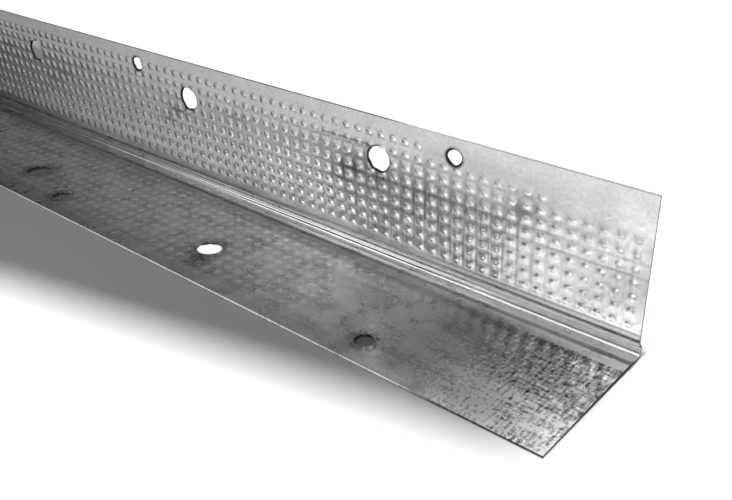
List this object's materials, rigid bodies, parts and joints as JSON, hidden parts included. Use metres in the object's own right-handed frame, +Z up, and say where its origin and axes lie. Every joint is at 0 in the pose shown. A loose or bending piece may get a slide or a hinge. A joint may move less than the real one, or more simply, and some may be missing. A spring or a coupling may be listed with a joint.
{
  "type": "ceiling wall angle",
  "caption": "Roll-formed galvanised steel angle with two dimpled legs, a beaded corner and punched holes, for carrying or edging a ceiling along a wall.",
  "frame": {"origin": "middle of the length and of the width, on the plane under the bead", "axes": "+X along the length to the end that the picture shows, +Y to the wall behind the upright leg, +Z up"},
  "size_m": [3, 0.0278, 0.0254],
  "materials": {
    "galvanised_steel": "hot-dip zinc with a fine spangle, satin, rolled with dimples"
  },
  "bodies": {
    "root": {"wall_angle": "galvanised_steel"}
  },
  "joints": []
}
